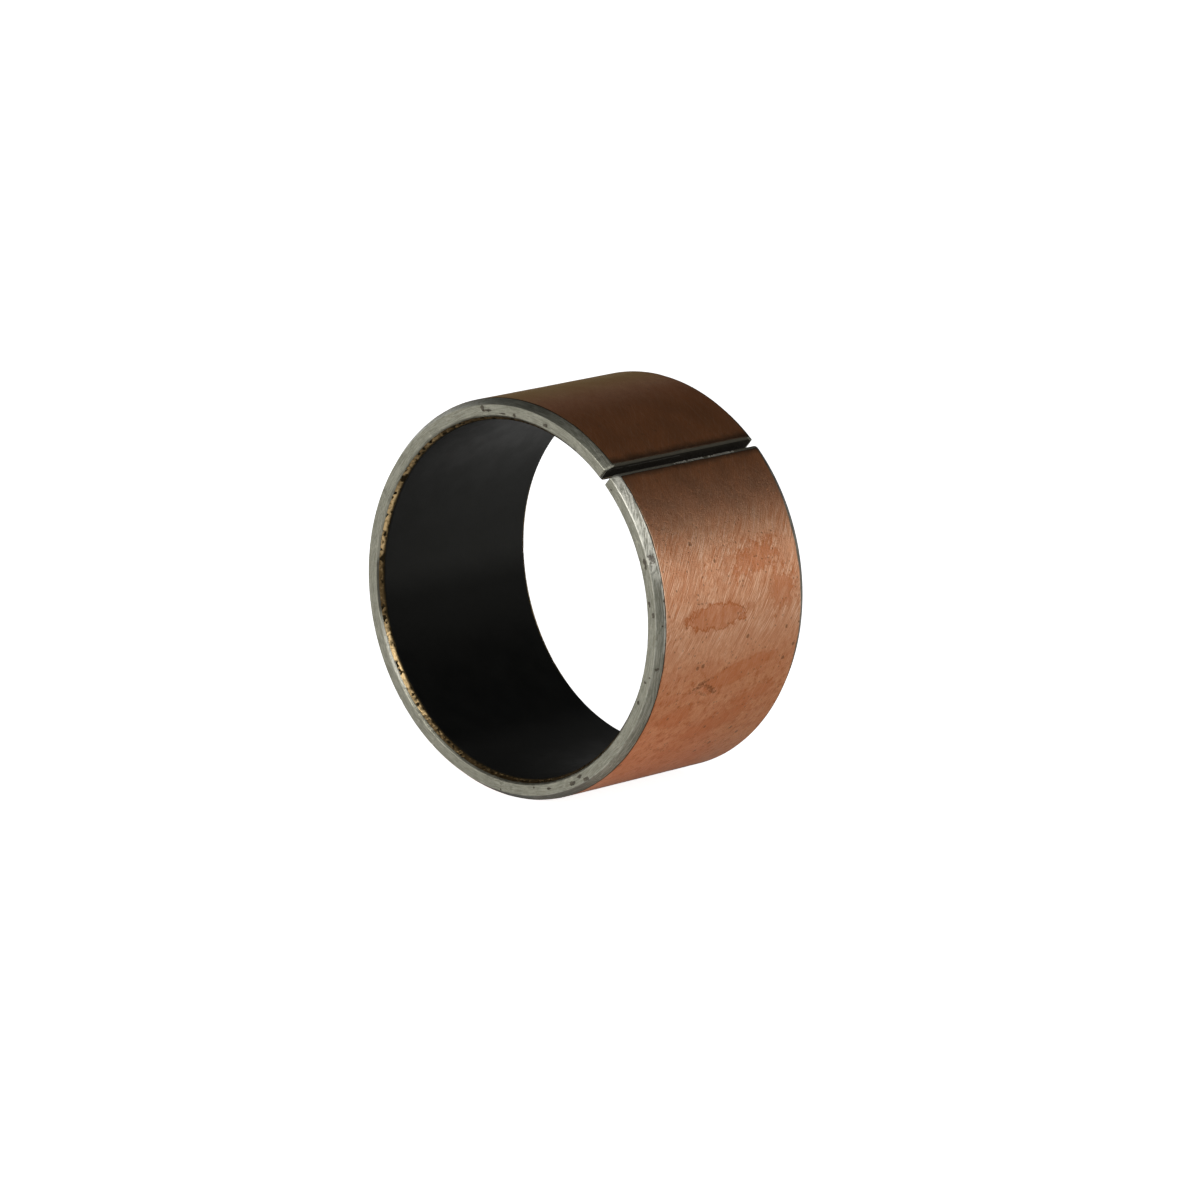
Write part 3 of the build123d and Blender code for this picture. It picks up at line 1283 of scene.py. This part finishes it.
@dataclass(frozen=True)
class LinerFinish(Finish):
    """Filled PTFE: charcoal black, satin, with a faint rolled grain and a few pale specks."""

    name: str = "black sliding film"
    metallic: float = 0.0
    specular: float = 0.22
    black: Colour = (0.0042, 0.0042, 0.0040)
    charcoal: Colour = (0.0065, 0.0065, 0.0060)
    pale: Colour = (0.2, 0.21, 0.2)
    tint: Colour = (1.0, 1.0, 0.88)
    bump_mm: float = 0.006

    def surface(self, desk: Desk) -> dict[str, Any]:
        """A little mottling, lines round the bore and rare pale specks."""
        mottle = Clouds().on(desk, size=2.0, contrast=0.25)["Amount"]
        fine = Clouds().on(desk, size=0.3, contrast=0.3)["Amount"]
        lines = Scratches().on(desk, length=4.0, spacing=0.12, cover=0.6)
        specks = Specks().on(desk, size=2.3, share=0.035, reach=0.06)["Spots"]
        # Painted sheen: the film reflects more about 126 and 264 degrees and less about 213 degrees.
        sheen_level = desk.plus(self.specular, desk.times(self.around(desk, 126, 10, 14), 0.1),
                            desk.times(self.around(desk, 264, 14, 12), 0.12))
        sheen_dip = desk.times(self.around(desk, 213, 22, 14), 0.14)
        height = desk.plus(desk.times(lines["Relief"], 0.6), desk.times(mottle, 0.5), desk.times(fine, 0.3))
        return {
            "Base Color": desk.coats(self.black, ((self.charcoal, mottle), (self.pale, specks))),
            "Roughness": desk.span(mottle, 0.0, 1.0, 0.42, 0.5),
            "Specular IOR Level": desk.less(sheen_level, sheen_dip),
            "Specular Tint": full(self.tint),
            "Normal": self.bump(desk, height),
        }


@dataclass(frozen=True)
class FloorFinish(Finish):
    """Plain pale floor."""

    name: str = "pale floor"
    metallic: float = 0.0
    pale: float = 0.9
    rough: float = 0.9
    glow: float = 0.15
    seen_glow: float = 0.92

    def surface(self, desk: Desk) -> dict[str, Any]:
        """White with a glow of its own, weaker as the metal mirrors it, so that the floor looks white."""
        seen = desk.put("ShaderNodeLightPath").outputs["Is Camera Ray"]
        return {
            "Base Color": full((self.pale,) * 3),
            "Roughness": self.rough,
            "Emission Color": desk.mix(seen, (self.glow,) * 3, (self.seen_glow,) * 3),
            "Emission Strength": 1.0,
        }


# --------------------------------------------------------------------------------------------- studio

@dataclass(frozen=True)
class SoftBox:
    """A soft light: where it stands as seen from the bush, its size in metres, its strength and distance."""

    name: str
    azimuth: float
    elevation: float
    width: float
    height: float
    watts: float
    distance: float = 0.9

    def build(self) -> bpy.types.Object:
        """Makes the light, turned towards the bush."""
        lamp = bpy.data.lights.new(self.name, "AREA")
        lamp.shape = "RECTANGLE"
        lamp.size, lamp.size_y = self.width, self.height
        lamp.energy = self.watts
        light = bpy.data.objects.new(self.name, lamp)
        light.location = direction(self.azimuth, self.elevation) * self.distance
        light.rotation_euler = (-light.location).to_track_quat("-Z", "Y").to_euler()
        bpy.context.scene.collection.objects.link(light)
        return light


def direction(azimuth: float, elevation: float) -> Vector:
    """The unit vector from the bush: azimuth 0 is -Y and 90 is +X, in degrees."""
    a, e = math.radians(azimuth), math.radians(elevation)
    return Vector((math.sin(a) * math.cos(e), -math.cos(a) * math.cos(e), math.sin(e)))


@dataclass(frozen=True)
class Studio:
    """Floor, soft lights and camera. Lengths are in metres, angles in degrees."""

    camera_azimuth: float = 43.0
    camera_elevation: float = 11.9
    camera_distance: float = 0.527
    focal_mm: float = 228.0
    aim_right: float = 0.0011
    aim_up: float = -0.0011
    floor_size: float = 6.0
    ambient: float = 0.055
    boxes: tuple[SoftBox, ...] = (
        SoftBox("left side", -95, 10, 0.6, 0.42, 1.5),
        SoftBox("front left", -30, 12, 0.5, 0.42, 0.55),
        SoftBox("front low", 0, 12, 0.45, 0.42, 1.1),
        SoftBox("front mid", 0, 34, 0.5, 0.42, 1.5),
        SoftBox("key left", 30, 32, 0.42, 0.42, 1.0),
        SoftBox("key", 60, 32, 0.42, 0.42, 0.8),
        SoftBox("key high", 60, 55, 0.42, 0.42, 0.3),
        SoftBox("key right", 90, 32, 0.42, 0.42, 0.55),
        SoftBox("right side", 105, 14, 0.3, 0.4, 0.35),
        SoftBox("back right", 122, 11, 0.42, 0.4, 0.85),
        SoftBox("back left", -130, 12, 0.5, 0.42, 0.1),
        SoftBox("overhead", 0, 88, 0.5, 0.5, 0.2),
    )

    def floor(self, level: float) -> bpy.types.Object:
        """A flat square floor at a level."""
        half = self.floor_size / 2
        mesh = bpy.data.meshes.new("floor")
        corners = [(-half, -half, level), (half, -half, level), (half, half, level), (-half, half, level)]
        mesh.from_pydata(corners, [], [(0, 1, 2, 3)])
        mesh.materials.append(FloorFinish().material())
        piece = bpy.data.objects.new("floor", mesh)
        bpy.context.scene.collection.objects.link(piece)
        return piece

    def camera(self) -> bpy.types.Object:
        """The camera, aimed a touch below and right of the bush's centre."""
        lens = bpy.data.cameras.new("camera")
        lens.lens = self.focal_mm
        lens.clip_start = 0.01
        made = bpy.data.objects.new("camera", lens)
        back = direction(self.camera_azimuth, self.camera_elevation)
        right = Vector((0, 0, 1)).cross(back).normalized()
        aim = right * self.aim_right + back.cross(right) * self.aim_up
        made.location = back * self.camera_distance
        made.rotation_euler = (aim - made.location).to_track_quat("-Z", "Y").to_euler()
        bpy.context.scene.collection.objects.link(made)
        bpy.context.scene.camera = made
        return made

    def build(self, level: float) -> None:
        """Sets up the whole studio round a bush that stands on a level."""
        scene = bpy.context.scene
        scene.view_settings.view_transform = "Standard"
        world = bpy.data.worlds.new("studio")
        world.use_nodes = True
        backdrop = world.node_tree.nodes["Background"].inputs
        backdrop["Color"].default_value = (1, 1, 1, 1)
        backdrop["Strength"].default_value = self.ambient
        scene.world = world
        self.floor(level)
        self.camera()
        for box in self.boxes:
            box.build()


def main() -> None:
    """Builds the four layers of the wall and the studio, and reports each piece."""
    logging.basicConfig(level=logging.INFO, format="%(name)s: %(message)s")
    wall = Wall.from_frame()
    log.info("joint at %.1f degrees", math.degrees(wall.seam))
    layers = (
        SteelBacking(wall, SteelFinish(wall)),
        CopperPlating(wall, CopperFinish(wall)),
        BronzeLayer(wall, BronzeFinish(wall)),
        SlidingLiner(wall, LinerFinish(wall)),
    )
    for layer in layers:
        piece = layer.build()
        log.info("%s: %d faces", piece.name, len(piece.data.polygons))
    Studio().build(CAD_BOX[0].z)


if __name__ == "__main__":
    main()
